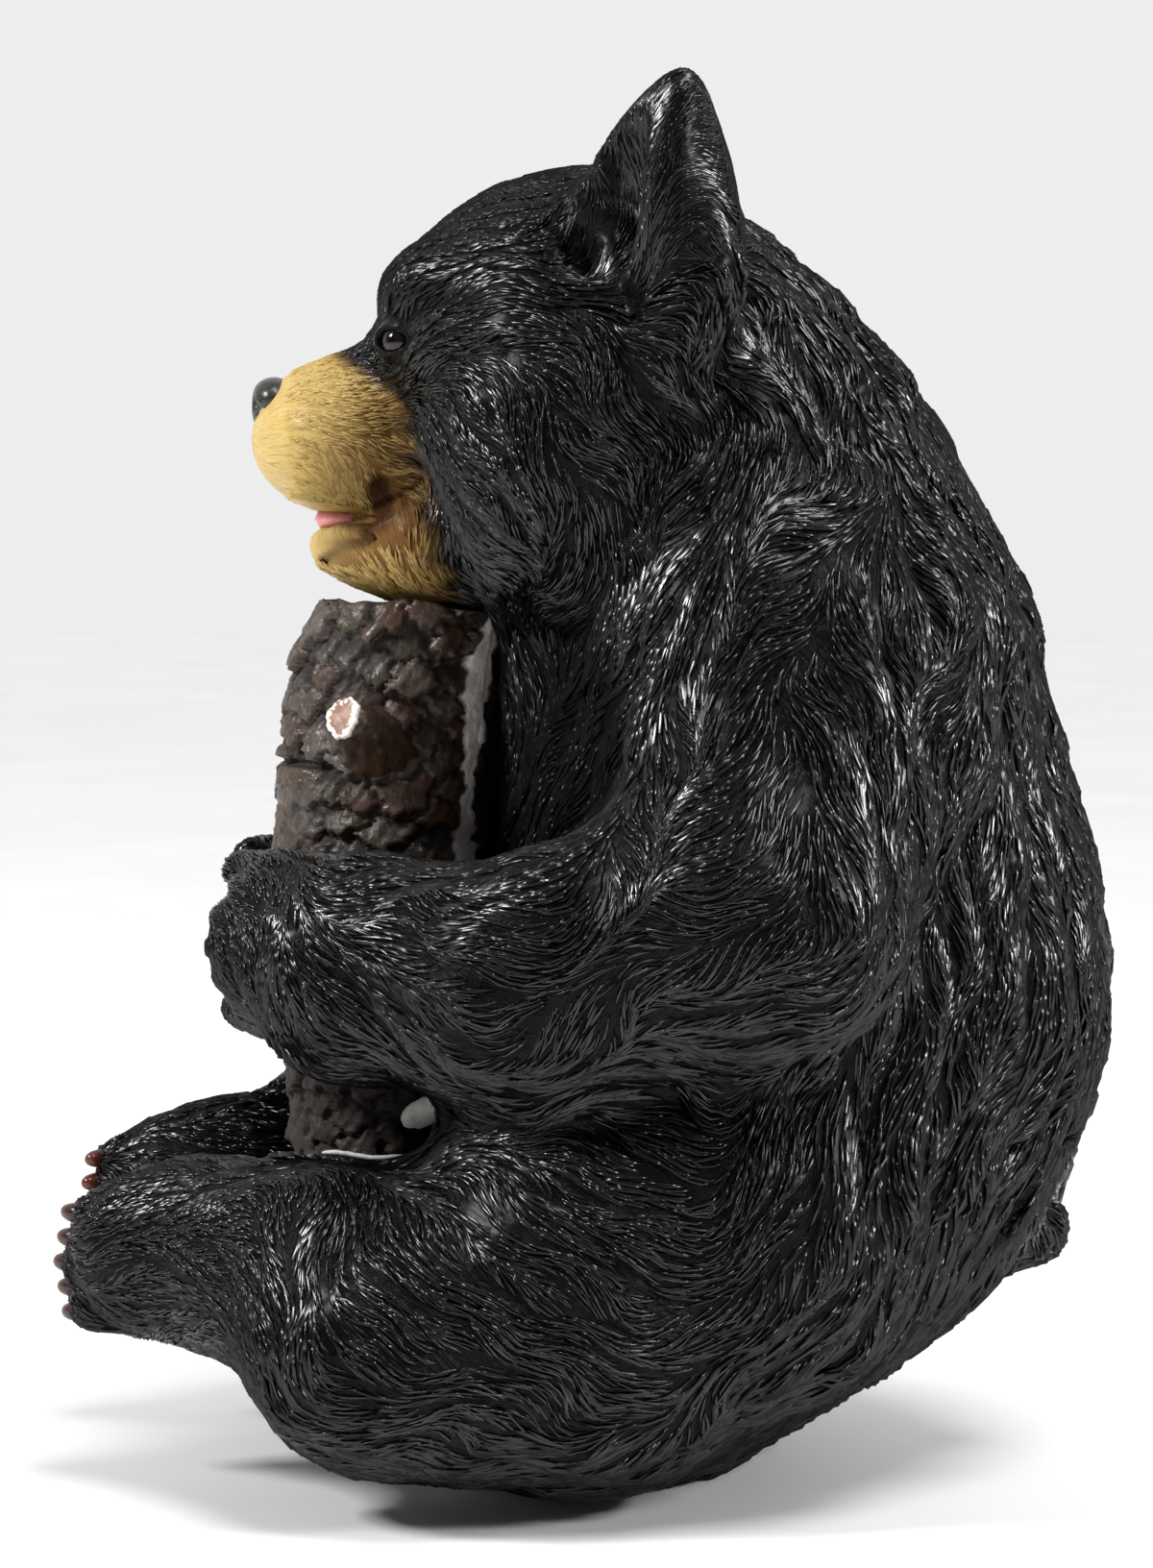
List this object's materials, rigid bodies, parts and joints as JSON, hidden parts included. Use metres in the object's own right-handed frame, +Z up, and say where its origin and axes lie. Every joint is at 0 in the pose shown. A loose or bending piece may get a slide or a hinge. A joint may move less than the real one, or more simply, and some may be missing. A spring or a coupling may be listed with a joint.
{
  "type": "seated bear statue hugging a log",
  "caption": "Seated black bear statue with cast fur, hugging an upright bark-covered log; stands on the flat of its seat.",
  "frame": {"origin": "on the ground under the seat, at the centre of the whole part's width and depth", "axes": "+Z up; the bear faces -Y and its left side is +X"},
  "size_m": [0.288, 0.3026, 0.3937],
  "materials": {
    "bear": "satin black paint over cast fur relief, tan muzzle, reddish-brown claws",
    "log": "semi-gloss dark brown paint over cast bark plates, pale bare strip at the edge"
  },
  "bodies": {
    "root": {"bear": "bear", "log": "log"}
  },
  "joints": []
}
